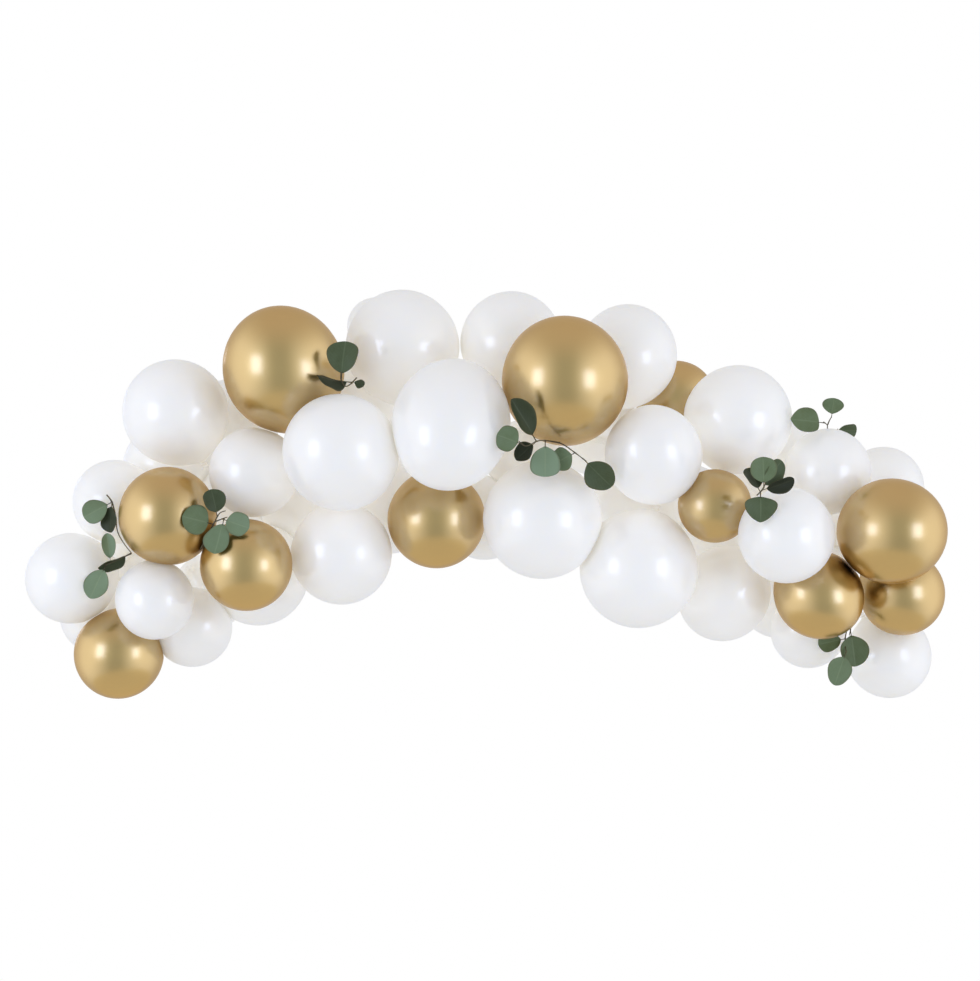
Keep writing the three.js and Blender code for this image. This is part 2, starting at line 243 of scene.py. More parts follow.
work_on(master_balloon)
edit()
select_where(master_balloon, on_pleat)
bpy.ops.transform.resize(value=(PLEAT_DEPTH, PLEAT_DEPTH, 1), center_override=(0, 0, 0))
edit(False)
print("pleated vertices:", sum(on_pleat(v.co) for v in master_balloon.data.vertices))

# %% [markdown]
# ## Copying the balloon to every place
#
# Fifty-two balloons share this one shape and differ in size, stretch and lean. Instances
# would be lightest, but neighbours press flat spots on each other, so each balloon needs
# a mesh of its own. Where two balloons meet, both stop at the plane between them. The
# latex bends into that flat softly, so a smooth minimum is used and not a hard cut. The
# neck keeps its real thickness however big the bulb is.
#
# Each copy also carries three attributes for its finish: how near a point is to the neck,
# how wide the balloon is, and how close the point is to a pressed face, where painted
# shade darkens the skin.

# %% How two neighbours share a face
PRESS_GAP = 0.0003
WORTH_A_LOOK = 1.1


def radius_along(balloon, direction):
    along = float(direction @ balloon["neck"])
    across = math.sqrt(max(0.0, 1 - along * along))
    return 1 / math.hypot(along / balloon["a"], across / balloon["b"])


def shared_faces(name):
    own = balloons[name]
    for other_name, other in balloons.items():
        if other_name == name:
            continue
        direction = other["centre"] - own["centre"]
        distance = np.linalg.norm(direction)
        direction = direction / distance
        mine, theirs = radius_along(own, direction), radius_along(other, -direction)
        reach = (distance**2 + mine**2 - theirs**2) / (2 * distance) - PRESS_GAP / 2
        if reach < WORTH_A_LOOK * mine:
            yield direction, reach, other_name


touching = {
    tuple(sorted((name, other_name)))
    for name in balloons
    for _, _, other_name in shared_faces(name)
}
print(len(touching), "pairs of balloons touch or nearly do")

# %% Soft corners and steps
SOFTNESS = 0.03
PRESS_FADE = 1.08


def smooth_least(a, b, width):
    """The lesser of two values, rounded where they cross, and never above either."""
    near = np.maximum(width - np.abs(a - b), 0) / width
    return np.minimum(a, b) - near * near * width / 4


def smooth_step(low, high, value):
    t = np.clip((value - low) / (high - low), 0, 1)
    return t * t * (3 - 2 * t)


def across_from(direction):
    """Two directions square to this one and to each other."""
    helper = np.array([0, 0, 1.0]) if abs(direction[2]) < 0.9 else np.array([1.0, 0, 0])
    first = np.cross(helper, direction)
    first /= np.linalg.norm(first)
    return first, np.cross(direction, first)


print("a pressed edge is rounded over", SOFTNESS, "of the balloon's radius")

# %% Stretch, lean, press and place one copy
NECK_FROM, NECK_TO = -0.93, -1.06


def place_balloon(name):
    own = balloons[name]
    piece = master_balloon.copy()
    piece.data = master_balloon.data.copy()
    piece.name = piece.data.name = f"{name}_skin"
    bpy.context.scene.collection.objects.link(piece)
    local = np.array([vertex.co for vertex in piece.data.vertices])
    neckness = smooth_step(NECK_FROM, NECK_TO, local[:, 2])
    aside = own["b"] * (1 - neckness) + NECK_REFERENCE * neckness
    first, second = across_from(-own["neck"])
    points = (
        np.outer(local[:, 0] * aside, first)
        + np.outer(local[:, 1] * aside, second)
        + np.outer(local[:, 2] * own["a"], -own["neck"])
    )
    keep = np.ones(len(points))
    pressed_shade = np.zeros(len(points))
    for direction, reach, other_name in shared_faces(name):
        outward = np.maximum(points @ direction, 1e-6)
        keep = smooth_least(keep, reach / outward, SOFTNESS)
        # Near each pressed face shade is painted into the skin; a gold balloon gets this
        # painted shade only from gold neighbours.
        gold_on_white = name.startswith("gold") and not other_name.startswith("gold")
        if not gold_on_white:
            pressed_shade = np.maximum(pressed_shade, smooth_step(PRESS_FADE, 1.0, reach / outward))
    keep = keep * (1 - neckness) + neckness
    points = points * keep[:, None] + own["centre"]
    piece.data.vertices.foreach_set("co", points.astype(np.float32).ravel())
    size = np.full(len(points), own["b"])
    for label, values in (("to_neck", neckness), ("half_width", size), ("pressed_shade", pressed_shade)):
        piece.data.attributes.new(label, "FLOAT", "POINT").data.foreach_set(
            "value", values.astype(np.float32)
        )
    piece.data.update()
    return piece


skins = {name: place_balloon(name) for name in balloon_names}
bpy.data.objects.remove(master_balloon)
print(sum(len(skin.data.polygons) for skin in skins.values()), "faces in all balloons")

# %% [markdown]
# ## Node materials
#
# Every finish here is built from nodes, so that it follows the piece and needs no file
# beside this one. These helpers keep the cells short: one starts a material, one adds a
# node, others make the few kinds of node that come back, and the last sets plain values
# on the shader. Patterns read Object coordinates, and as every piece sits at the origin
# no two balloons get the same mottling. Noise keeps mostly to the middle of its range,
# so two narrower ranges are named for reading it.


# %% Small helpers for node trees
def start_material(name):
    material = bpy.data.materials.new(name)
    material.use_nodes = True
    tree = material.node_tree
    return material, tree, tree.nodes["Principled BSDF"]


def add(tree, kind, inputs=None, **settings):
    """A node with its settings, whose inputs are values or the sockets that feed them."""
    made = tree.nodes.new("ShaderNode" + kind)
    for key, value in settings.items():
        setattr(made, key, value)
    for key, value in (inputs or {}).items():
        if isinstance(value, bpy.types.NodeSocket):
            tree.links.new(value, made.inputs[key])
        else:
            made.inputs[key].default_value = value
    return made


def noise(tree, vector, scale, detail=2.0, roughness=0.5):
    inputs = {"Vector": vector, "Scale": scale, "Detail": detail, "Roughness": roughness}
    return add(tree, "TexNoise", inputs).outputs["Fac"]


def spread(tree, value, low, high, to_low, to_high):
    inputs = {"Value": value, "From Min": low, "From Max": high}
    inputs.update({"To Min": to_low, "To Max": to_high})
    return add(tree, "MapRange", inputs).outputs["Result"]


def mix(tree, factor, a, b):
    made = add(tree, "Mix", data_type="RGBA")
    for key, value in (("Factor", factor), ("A", a), ("B", b)):
        socket = next(s for s in made.inputs if s.name == key and s.enabled)
        if isinstance(value, bpy.types.NodeSocket):
            tree.links.new(value, socket)
        else:
            socket.default_value = value
    return next(s for s in made.outputs if s.enabled)


def colour(red, green, blue):
    return (red, green, blue, 1.0)


def attribute(tree, name):
    return add(tree, "Attribute", attribute_name=name).outputs["Fac"]


def bump(tree, height, distance, strength=1.0):
    made = add(tree, "Bump", {"Height": height, "Distance": distance, "Strength": strength})
    return made.outputs["Normal"]


def finish(shader, values):
    for key, value in values.items():
        shader.inputs[key].default_value = value


CLOUDY, WAVERING = (0.35, 0.65), (0.3, 0.7)
print("noise is read from", CLOUDY, "for clouds and from", WAVERING, "for gloss")


# %% [markdown]
# ## What all latex shares
#
# Gold or white, a balloon's skin is never evenly thick. Broad clouds shift its colour a
# little, a finer blotching makes its gloss waver, and the very surface is like orange
# peel. Towards the neck the latex is less stretched, so it is darker and duller there.
# Painting all this by hand would take a file for each balloon, so both finishes share
# three small helpers that read the attributes each copy carries.

# %% Tone, gloss and peel of a latex skin
PEEL_SCALE, PEEL_DEPTH = 260.0, 0.00003
BLOTCH_SCALE = 16.0
NECK_DULLNESS = 0.2


def latex_tone(tree, place, cloud_scale, main, second, pressed_shade, neck):
    cloud = noise(tree, place, cloud_scale, 2.0)
    skin = mix(tree, spread(tree, cloud, *CLOUDY, 0, 1), main, second)
    # Near a pressed face the skin takes a darker colour: painted shade.
    skin = mix(tree, attribute(tree, "pressed_shade"), skin, pressed_shade)
    return mix(tree, attribute(tree, "to_neck"), skin, neck)


def latex_gloss(tree, place, smooth, rough, slack=None):
    gloss = spread(tree, noise(tree, place, BLOTCH_SCALE, 3.0), *WAVERING, smooth, rough)
    if slack is not None:
        gloss = add(tree, "Math", {0: gloss, 1: slack}, operation="ADD").outputs[0]
    dulled = {0: attribute(tree, "to_neck"), 1: NECK_DULLNESS, 2: gloss}
    return add(tree, "Math", dulled, operation="MULTIPLY_ADD").outputs[0]


def latex_peel(tree, place):
    return bump(tree, noise(tree, place, PEEL_SCALE, 2.0), PEEL_DEPTH)


print("orange peel", PEEL_DEPTH * 1e6, "micrometres deep")

# %% [markdown]
# ## Chrome gold latex
#
# These balloons have metal flakes in the latex under a thin clear skin, so they mirror
# the room softly, like brushed brass, with a paler shine on top. A plain yellow gloss
# would look like plastic. A metallic shader with a fairly dark, brownish base gives the
# deep gold, a warm tint at glancing angles keeps its rims from going pale, and a clear
# coat adds the paler shine. The small balloons are less stretched, so they are duller.
# Where two gold balloons press together they mirror only each other, and the dark brown
# this gives the crease is painted into the base colour as shade. Beside a white one no
# shade is painted and the gold stays light.

# %% Gold
GOLD = colour(0.47, 0.315, 0.085)
GOLD_WARM = colour(0.46, 0.3, 0.075)
GOLD_NECK = colour(0.36, 0.22, 0.08)
# Painted shade: the dark brown of the crease where two gold balloons press together.
GOLD_CREASE_SHADE = colour(0.14, 0.065, 0.015)
GOLD_CLOUDS = 7.0
SLACK_BELOW, TIGHT_ABOVE, SLACK_DULLNESS = 0.078, 0.092, 0.08
GOLD_SMOOTH, GOLD_ROUGH = 0.34, 0.38

gold_latex, tree, shader = start_material("gold_latex_chrome")
place = add(tree, "TexCoord").outputs["Object"]
tone = latex_tone(tree, place, GOLD_CLOUDS, GOLD, GOLD_WARM, GOLD_CREASE_SHADE, GOLD_NECK)
half_width = attribute(tree, "half_width")
slack = spread(tree, half_width, SLACK_BELOW, TIGHT_ABOVE, SLACK_DULLNESS, 0)
gloss = latex_gloss(tree, place, GOLD_SMOOTH, GOLD_ROUGH, slack)
tree.links.new(tone, shader.inputs["Base Color"])
tree.links.new(gloss, shader.inputs["Roughness"])
tree.links.new(latex_peel(tree, place), shader.inputs["Normal"])
finish(shader, {
    "Metallic": 1.0,
    "Specular Tint": colour(1.0, 0.78, 0.5),
    "Coat Weight": 0.5,
    "Coat IOR": 3.5,
    "Coat Roughness": 0.25,
})
print("material", gold_latex.name)

# %% [markdown]
# ## White latex
#
# White latex is a thin, milky skin over air. Light goes a little way in, so its shadows
# are soft and, where it bounces between balloons, warm and creamy. Pure white paint
# would look dead. A slightly warm base and some scattering under the surface give the
# softness, and a very faint glow stands for the light that passes through the whole
# balloon. The gloss is a clear coat and not the base's own highlight, which would draw
# a bright line round each rim. Where a neighbour presses, less light gets in, and that
# shade is painted into the skin as a darker colour.

# %% White
WHITE = colour(0.975, 0.97, 0.95)
WHITE_MILKY = colour(0.965, 0.958, 0.936)
WHITE_NECK = colour(0.88, 0.84, 0.76)
# Painted shade: the darker grey-beige of white skin near a pressed face.
WHITE_CREASE_SHADE = colour(0.75, 0.735, 0.7)
WHITE_CLOUDS = 9.0
WHITE_SMOOTH, WHITE_ROUGH = 0.2, 0.24

white_latex, tree, shader = start_material("white_latex_satin")
place = add(tree, "TexCoord").outputs["Object"]
tone = latex_tone(tree, place, WHITE_CLOUDS, WHITE, WHITE_MILKY, WHITE_CREASE_SHADE, WHITE_NECK)
gloss = latex_gloss(tree, place, WHITE_SMOOTH, WHITE_ROUGH)
tree.links.new(tone, shader.inputs["Base Color"])
tree.links.new(gloss, shader.inputs["Roughness"])
tree.links.new(latex_peel(tree, place), shader.inputs["Normal"])
finish(shader, {
    "Specular IOR Level": 0.0,
    "Coat Weight": 0.35,
    "Coat IOR": 3.0,
    "Coat Roughness": 0.2,
    "Subsurface Weight": 1.0,
    "Subsurface Radius": (1.0, 0.9, 0.75),
    "Subsurface Scale": 0.2,
    "Emission Color": colour(1.0, 0.965, 0.9),
    "Emission Strength": 0.13,
})
print("material", white_latex.name)

# %% Dress the balloons and let them stand for their nodes
for name, skin in skins.items():
    gold = name.startswith("gold")
    skin.data.materials.clear()
    skin.data.materials.append(gold_latex if gold else white_latex)
    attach(skin, "root")
    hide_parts(name)
print("dressed", len(skins), "balloons")

# %% [markdown]
# ## One eucalyptus leaf
#
# Round-leaved eucalyptus has thick, nearly circular leaves on short stalks. They are
# cupped a little, and the midrib lies in a groove. A flat disc would catch the light
# all at once, so the leaf starts as a grid. While the grid is still square its columns
# are lifted into a cup, and then each row is drawn in to the leaf's outline. A finished
# row is set two units aside, so that the next row is selected alone, and at the end the
# whole leaf is moved back.

# %% The outline of the blade
STALK = 0.16
FULLNESS = 1.98
SHOULDER, NEAR_TIP = 0.12, 0.97


def leaf_row(t):
    """Half the width, and the height, of the leaf's outline at t from stalk to tip."""
    k = ((1 - t) ** 3, 3 * (1 - t) ** 2 * t, 3 * (1 - t) * t * t, t**3)
    half = FULLNESS * t * (1 - t)
    height = k[0] * STALK + k[1] * (STALK + SHOULDER) + k[2] * NEAR_TIP + k[3]
    return half, height


print("the blade is widest", round(leaf_row(0.5)[1], 2), "of the way up")

# %% Draw the blade row by row
LEAF_ROWS, LEAF_COLUMNS = 14, 8
CUP = 0.45
DROOP, DROOP_FROM = 0.16, 0.35
WAVE, WAVES = 0.012, 7
GROOVE = 0.02
NARROWEST = 0.05
NEAR = 0.01
ASIDE = 2

bpy.ops.object.select_all(action="DESELECT")
bpy.ops.mesh.primitive_grid_add(x_subdivisions=LEAF_COLUMNS, y_subdivisions=LEAF_ROWS, size=1)
master_leaf = bpy.context.object
master_leaf.name = "leaf_master"
edit()
for column in range(LEAF_COLUMNS + 1):
    x = column / LEAF_COLUMNS - 0.5
    select_where(master_leaf, lambda place: abs(place.x - x) < NEAR)
    lift = CUP * x * x - (GROOVE if column * 2 == LEAF_COLUMNS else 0)
    bpy.ops.transform.translate(value=(0, 0, lift))
for row in range(LEAF_ROWS, -1, -1):
    t = row / LEAF_ROWS
    half, height = leaf_row(t)
    y = t - 0.5
    select_where(master_leaf, lambda place: abs(place.y - y) < NEAR)
    wide = max(2 * half, NARROWEST)
    size = (wide, 1, max(wide, 2 * NARROWEST))
    bpy.ops.transform.resize(value=size, center_override=(0, y, 0))
    wave = WAVE * math.sin(WAVES * t) - DROOP * (t - DROOP_FROM) ** 2
    bpy.ops.transform.translate(value=(0, height - y + ASIDE, wave))
bpy.ops.mesh.select_all(action="SELECT")
bpy.ops.transform.translate(value=(0, -ASIDE, 0))
edit(False)
print("leaf reaches", round(max(v.co.y for v in master_leaf.data.vertices), 3))

# %% Give the blade its thickness
LEAF_SURFACES = [bpy.data.materials.new("leaf_" + side) for side in ("upper", "under", "stem")]
UNDER, STEM = 1, 2
BLADE_THICKNESS = 0.012

for surface in LEAF_SURFACES:
    master_leaf.data.materials.append(surface)
solid = master_leaf.modifiers.new("thickness", "SOLIDIFY")
solid.thickness = BLADE_THICKNESS
solid.offset = 0
solid.material_offset = UNDER
rounder = master_leaf.modifiers.new("rounder", "SUBSURF")
rounder.levels = rounder.render_levels = 1
work_on(master_leaf)
bpy.ops.object.modifier_apply(modifier="thickness")
bpy.ops.object.modifier_apply(modifier="rounder")
print("the blade:", len(master_leaf.data.polygons), "faces")

# %% Add the stalk, which runs on under the blade as its thick midrib
STALK_BASE, STALK_TIP, STALK_LENGTH = 0.02, 0.007, 0.5
STALK_PLACE = (0, 0.24, -0.014)

bpy.ops.object.select_all(action="DESELECT")
bpy.ops.mesh.primitive_cone_add(
    vertices=8, radius1=STALK_BASE, radius2=STALK_TIP, depth=STALK_LENGTH,
    location=STALK_PLACE, rotation=(math.radians(-90), 0, 0),
)
stalk = bpy.context.object
bpy.ops.object.transform_apply(location=True, rotation=True, scale=True)
for surface in LEAF_SURFACES:
    stalk.data.materials.append(surface)
for face in stalk.data.polygons:
    face.material_index = STEM
work_on(master_leaf, stalk)
bpy.ops.object.join()
bpy.ops.object.shade_smooth()
print("one leaf:", len(master_leaf.data.polygons), "faces")

# %% [markdown]
# ## Laying the sprigs
#
# Each sprig is a thin twig with three to six leaves, and the CAD model makes it one flat
# solid. Here its routes and leaves are laid by the same rule: points measured to the
# right, forward and up from the balloon that carries the sprig, in metres, and each leaf
# with its place along the twig, the clock direction of its tip, length, width, lean,
# roll, how pale it is, and how much wider it grows towards its tip. How pale a leaf is
# stands partly for its own tone and partly for painted shade: a leaf in shadow is given a
# dark tone. A twig that would cross a balloon is moved out of it, and a leaf leans
# forward until it is clear.

# %% The seven sprigs
# The seventh number of each leaf, how pale it is, is partly painted shade for a leaf in
# shadow.
SPRIGS = [
    ("white_balloon_12", [
        ([(0.031, -0.02, 0.157), (0.017, -0.01, 0.142), (0.007, 0, 0.139),
          (0, 0.008, 0.153), (0, 0.014, 0.169)],
         [(0.75, 5, 0.08, 0.068, 0, -10, 0.25, 0.4),
          (0.22, -86, 0.079, 0.055, 26, 240, 0, 0),
          (0.2, 97, 0.026, 0.026, 5, 50, 0.1, 0)]),
    ]),
    ("gold_balloon_02", [
        ([(-0.134, -0.03, 0.046), (-0.123, -0.03, 0.031), (-0.115, -0.03, 0.001),
          (-0.111, -0.03, -0.031), (-0.098, -0.03, -0.056), (-0.081, -0.03, -0.078)],
         [(0.14, -118, 0.069, 0.05, 0, 0, 0.75, 0.4),
          (0.13, -177, 0.066, 0.048, 0, 40, 0.05, 0.2)]),
        ([(-0.081, -0.03, -0.078), (-0.106, -0.026, -0.09), (-0.134, -0.014, -0.102)],
         [(0.8, -7, 0.063, 0.031, 0, 15, 0.95, -0.2),
          (0.05, -118, 0.074, 0.042, 0, -55, 0.1, -0.5),
          (0.97, -156, 0.079, 0.051, 12, 0, 0.9, -0.1)]),
    ]),
    ("gold_balloon_03", [
        ([(-0.092, 0.028, 0.033), (-0.075, 0.044, 0.062), (-0.059, 0.06, 0.09),
          (-0.048, 0.064, 0.108), (-0.036, 0.062, 0.113)],
         [(0.62, -74, 0.069, 0.066, 24, 10, 0.55, 0),
          (0.8, -12, 0.058, 0.052, 0, 20, 0.15, 0)]),
        ([(-0.059, 0.06, 0.09), (-0.044, 0.064, 0.096), (-0.032, 0.062, 0.1)],
         [(0.6, 108, 0.063, 0.053, 17, -10, 0.75, 0.2),
          (0.75, -167, 0.079, 0.055, 17, 15, 0.7, 0.2)]),
    ]),
    ("white_balloon_17", [
        ([(0.034, 0.1, 0.158), (0.013, 0.12, 0.161), (-0.012, 0.148, 0.161),
          (-0.037, 0.164, 0.15), (-0.052, 0.17, 0.16)],
         [(0.92, -70, 0.058, 0.056, 9, 0, 0.6, 0.2),
          (0.6, -31, 0.108, 0.05, 24, 30, 0.1, 0),
          (0.62, -132, 0.056, 0.041, -10, 30, 0, -0.3),
          (0.38, -180, 0.075, 0.066, -10, 0, 1, 0.2)]),
        ([(0.013, 0.12, 0.161), (0.038, 0.118, 0.155), (0.062, 0.116, 0.139),
          (0.088, 0.104, 0.12)],
         [(0.65, -118, 0.051, 0.054, -10, 15, 0.7, 0),
          (0.9, 135, 0.087, 0.064, -10, 10, 0.2, -0.3)]),
    ]),
    ("white_balloon_23", [
        ([(-0.066, 0.045, 0.083), (-0.062, 0.08, 0.091), (-0.057, 0.092, 0.1),
          (-0.055, 0.096, 0.11)],
         [(0.8, -2, 0.062, 0.058, 5, 0, 0.55, 0.3), (0.5, -26, 0.057, 0.05, -8, 35, 0.1, 0),
          (0.7, 34, 0.073, 0.046, -12, 20, 0.3, 0), (0.62, 72, 0.071, 0.036, 0, 30, 0, 0),
          (0.5, -179, 0.063, 0.068, 17, 0, 0.3, -0.7)]),
    ]),
    ("white_balloon_24", [
        ([(0.011, -0.062, 0.084), (0.005, -0.035, 0.094), (-0.002, 0.01, 0.101),
          (-0.013, 0.03, 0.107)],
         [(0.93, -85, 0.094, 0.055, 30, 10, 0.5, -0.3)]),
        ([(-0.001, 0.008, 0.101), (0.002, 0.014, 0.11), (0.006, 0.018, 0.118)],
         [(1, 8, 0.041, 0.045, 0, -15, 0.55, 0.2)]),
        ([(0.011, -0.062, 0.084), (0.021, -0.057, 0.09), (0.031, -0.052, 0.094)],
         [(0.7, 92, 0.049, 0.034, -5, 15, 0.25, 0.5)]),
    ]),
    ("gold_balloon_09", [
        ([(0.076, -0.078, -0.046), (0.069, -0.07, -0.063), (0.07, -0.062, -0.08),
          (0.066, -0.054, -0.097), (0.064, -0.04, -0.113), (0.064, -0.025, -0.125)],
         [(0.6, -102, 0.059, 0.045, 0, 15, 0.45, 0.2),
          (0.97, -161, 0.077, 0.053, 0, 10, 0.65, -0.3)]),
        ([(0.076, -0.078, -0.046), (0.08, -0.06, -0.065), (0.076, -0.045, -0.077),
          (0.071, -0.03, -0.089)],
         [(0.72, 172, 0.08, 0.066, 0, -8, 0.4, 0)]),
    ]),
]
print(sum(len(leaves) for _, twigs in SPRIGS for _, leaves in twigs), "leaves")

# %% Keep twigs and leaves clear of the balloons
TWIG_RADIUS = 0.0015
CLEARANCE = 0.0015
centres = np.array([balloon["centre"] for balloon in balloons.values()])
necks = np.array([balloon["neck"] for balloon in balloons.values()])
lengths = np.array([balloon["a"] for balloon in balloons.values()])
halves = np.array([balloon["b"] for balloon in balloons.values()])


def room_round(points):
    """For each point, the gap to the nearest balloon and the way out of it."""
    offsets = points[:, None, :] - centres[None]
    distances = np.linalg.norm(offsets, axis=2)
    ways = offsets / distances[..., None]
    along = np.einsum("pbk,bk->pb", ways, necks)
    across = np.sqrt(np.clip(1 - along**2, 0, None))
    gaps = distances - 1 / np.hypot(along / lengths, across / halves)
    nearest = gaps.argmin(axis=1)
    rows = np.arange(len(points))
    return gaps[rows, nearest], ways[rows, nearest]


print("twigs and leaves stay", CLEARANCE * 1000, "mm clear of the balloons")

# %% Smooth routes for the twigs
ROUTE_STEPS, FINE_STEPS, CURVE_STEPS = 16, 40, 20
PUSHES = 4


def smooth_route(corners, count):
    """Evenly spaced points on a smooth curve through the corners."""
    corners = np.array(corners, float)
    ends = np.vstack([2 * corners[0] - corners[1], corners, 2 * corners[-1] - corners[-2]])
    fine = []
    for i in range(len(corners) - 1):
        p0, p1, p2, p3 = ends[i : i + 4]
        for t in np.linspace(0, 1, CURVE_STEPS, endpoint=i == len(corners) - 2):
            bend = (2 * p0 - 5 * p1 + 4 * p2 - p3) * t * t + (3 * p1 - p0 - 3 * p2 + p3) * t**3
            fine.append(0.5 * (2 * p1 + (p2 - p0) * t + bend))
    fine = np.array(fine)
    run = np.concatenate([[0], np.cumsum(np.linalg.norm(np.diff(fine, axis=0), axis=1))])
    stops = np.linspace(0, run[-1], count)
    return np.column_stack([np.interp(stops, run, fine[:, axis]) for axis in range(3)])


def clear_route(corners):
    points = smooth_route(corners, ROUTE_STEPS)
    for _ in range(PUSHES):
        gaps, ways = room_round(points)
        push = np.clip(TWIG_RADIUS + CLEARANCE - gaps, 0, None)
        points = points + ways * push[:, None]
    return smooth_route(points, FINE_STEPS)


print("a twig is pushed out of the balloons up to", PUSHES, "times")

# %% Make one twig
TAPER, SWELLING, SWELLING_REACH = 0.4, 0.35, 0.04


def make_twig(route, leaf_places):
    curve = bpy.data.curves.new("twig", "CURVE")
    curve.dimensions = "3D"
    curve.bevel_depth = TWIG_RADIUS
    curve.bevel_resolution = 2
    curve.use_fill_caps = True
    spline = curve.splines.new("POLY")
    spline.points.add(len(route) - 1)
    for i, (point, place) in enumerate(zip(spline.points, route)):
        t = i / (len(route) - 1)
        joint = max(math.exp(-(((t - at) / SWELLING_REACH) ** 2)) for at in leaf_places)
        point.co = (*place, 1)
        point.radius = 1 - TAPER * t + SWELLING * joint
    piece = bpy.data.objects.new("twig", curve)
    bpy.context.scene.collection.objects.link(piece)
    work_on(piece)
    bpy.ops.object.convert(target="MESH")
    for surface in LEAF_SURFACES:
        piece.data.materials.append(surface)
    for face in piece.data.polygons:
        face.material_index = STEM
        face.use_smooth = True
    return piece


print("a twig swells where a leaf joins it, and is", TWIG_RADIUS * 2000, "mm thick")

# %% Make one leaf
LEAN_STEP, LEAN_MOST = 3, 60
BLADE_FROM = 0.2
WIDEST_AT, UNEVEN = 0.55, 0.05
WAVY, TWISTED = 0.07, 0.08
CURL, CURL_FROM = 0.3, 0.45


def clock_direction(clock, lean):
    clock, lean = math.radians(clock), math.radians(lean)
    level = math.cos(lean)
    return Vector((math.sin(clock) * level, -math.sin(lean), math.cos(clock) * level))


def crumple(local, length, width, belly, seed):
    """Give one leaf its own shape: a wider end, uneven sides, a wavy edge and a curled tip."""
    chance = np.random.default_rng(seed)
    start = chance.uniform(0, 2 * math.pi, 3)
    aside, t = local[:, 0] / width, local[:, 1] / length
    blade = t > STALK
    wider = 1 + belly * (t - WIDEST_AT) + UNEVEN * np.sin(WAVES * t + start[0])
    local[:, 0] *= np.where(blade, wider, 1)
    wave = WAVY * 4 * aside**2 * np.sin(WAVES * t + start[1])
    wave += TWISTED * aside * np.sin(3 * t + start[2])
    curl = chance.uniform(-CURL, CURL) * np.clip(t - CURL_FROM, 0, None) ** 2
    local[:, 2] += np.where(blade, width * wave + length * curl, 0)
    return local


def make_leaf(base, clock, length, width, lean, roll, tone_and_shade, belly, seed):
    piece = master_leaf.copy()
    piece.data = master_leaf.data.copy()
    piece.name = "leaf"
    bpy.context.scene.collection.objects.link(piece)
    local = np.array([vertex.co for vertex in piece.data.vertices]) * (width, length, length)
    local = crumple(local, length, width, belly, seed)
    for extra in range(0, LEAN_MOST + 1, LEAN_STEP):
        along = clock_direction(clock, lean + extra)
        across = along.cross(clock_direction(clock, lean + extra + 90))
        across.rotate(Matrix.Rotation(math.radians(roll), 3, along))
        axes = np.array([across, along, across.cross(along)])
        points = local @ axes + base
        gaps, _ = room_round(points)
        if gaps[local[:, 1] > BLADE_FROM * length].min() > CLEARANCE / 2:
            break
    piece.data.vertices.foreach_set("co", points.astype(np.float32).ravel())
    # Each leaf's tone, partly painted shade, is stored as an attribute.
    tone = np.full(len(points), tone_and_shade, np.float32)
    piece.data.attributes.new("tone_and_shade", "FLOAT", "POINT").data.foreach_set("value", tone)
    piece.data.update()
    return piece


print("a leaf leans forward by up to", LEAN_MOST, "degrees to come clear")

# %% Build every sprig
foliage = {}
for number, (bed, twigs) in enumerate(SPRIGS, 1):
    parts = []
    for corners, leaves in twigs:
        bed_centre = balloons[bed]["centre"]
        route = clear_route([bed_centre + (right, -ahead, up) for right, ahead, up in corners])
        parts.append(make_twig(route, [leaf[0] for leaf in leaves]))
        run = np.linspace(0, 1, len(route))
        for at, *shape in leaves:
            base = np.array([np.interp(at, run, route[:, axis]) for axis in range(3)])
            parts.append(make_leaf(base, *shape, seed=10 * number + len(parts)))
    node = f"eucalyptus_sprig_{number}"
    work_on(*parts)
    bpy.ops.object.join()
    foliage[node] = bpy.context.object
    foliage[node].name = foliage[node].data.name = node + "_foliage"
    print(node, len(foliage[node].data.polygons), "faces")
bpy.data.objects.remove(master_leaf)

# %% [markdown]
# ## Leaf and twig finishes
#
# A eucalyptus leaf is dusty green, because a thin wax bloom lies over it. The midrib and
# the side veins are paler, and the underside is greyer. The veins have to follow the
# blade, so they are drawn from the leaf's own UV map: across it and along it. How pale
# each leaf is comes from its own attribute, which gives partly the leaf's own tone and
# partly painted shade: a leaf that lies in shadow gets the darkest, most olive tone.

# %% Where the veins run
MIDRIB_HALF, MIDRIB_FADE = 0.012, 0.035
VEIN_SLANT, VEIN_WANDER = -0.9, 0.05
VEIN_RIPPLES = 62.8
VEIN_STRENGTH = 0.35


def vein_lines(tree, place, aside, along):
    midrib = spread(tree, aside, MIDRIB_HALF, MIDRIB_FADE, 1, 0)
    slanted = {0: aside, 1: VEIN_SLANT, 2: along}
    slant = add(tree, "Math", slanted, operation="MULTIPLY_ADD").outputs[0]
    wandering = {0: noise(tree, place, 90.0, 2.0), 1: VEIN_WANDER, 2: slant}
    slant = add(tree, "Math", wandering, operation="MULTIPLY_ADD").outputs[0]
    ripple = add(tree, "Math", {0: slant, 1: VEIN_RIPPLES}, operation="MULTIPLY").outputs[0]
    ripple = add(tree, "Math", {0: ripple}, operation="SINE").outputs[0]
    veins = spread(tree, ripple, 0.86, 1.0, 0, VEIN_STRENGTH)
    return add(tree, "Math", {0: midrib, 1: veins}, operation="MAXIMUM").outputs[0]


print(round(VEIN_RIPPLES / (2 * math.pi)), "side veins along a leaf")

# %% Tone, bloom and rim of a leaf
VEIN_COLOUR = colour(0.34, 0.42, 0.26)
RIM_COLOUR = colour(0.12, 0.11, 0.05)
RIM_FROM = 0.42
BLOOM, BLOOM_DULLNESS = 0.35, 0.15
VEIN_DEPTH, VEIN_RELIEF = 0.0002, 0.6
FAINT_VEINS, CLEAR_VEINS = 0.04, 0.3


def times(tree, a, b):
    return add(tree, "Math", {0: a, 1: b}, operation="MULTIPLY").outputs[0]


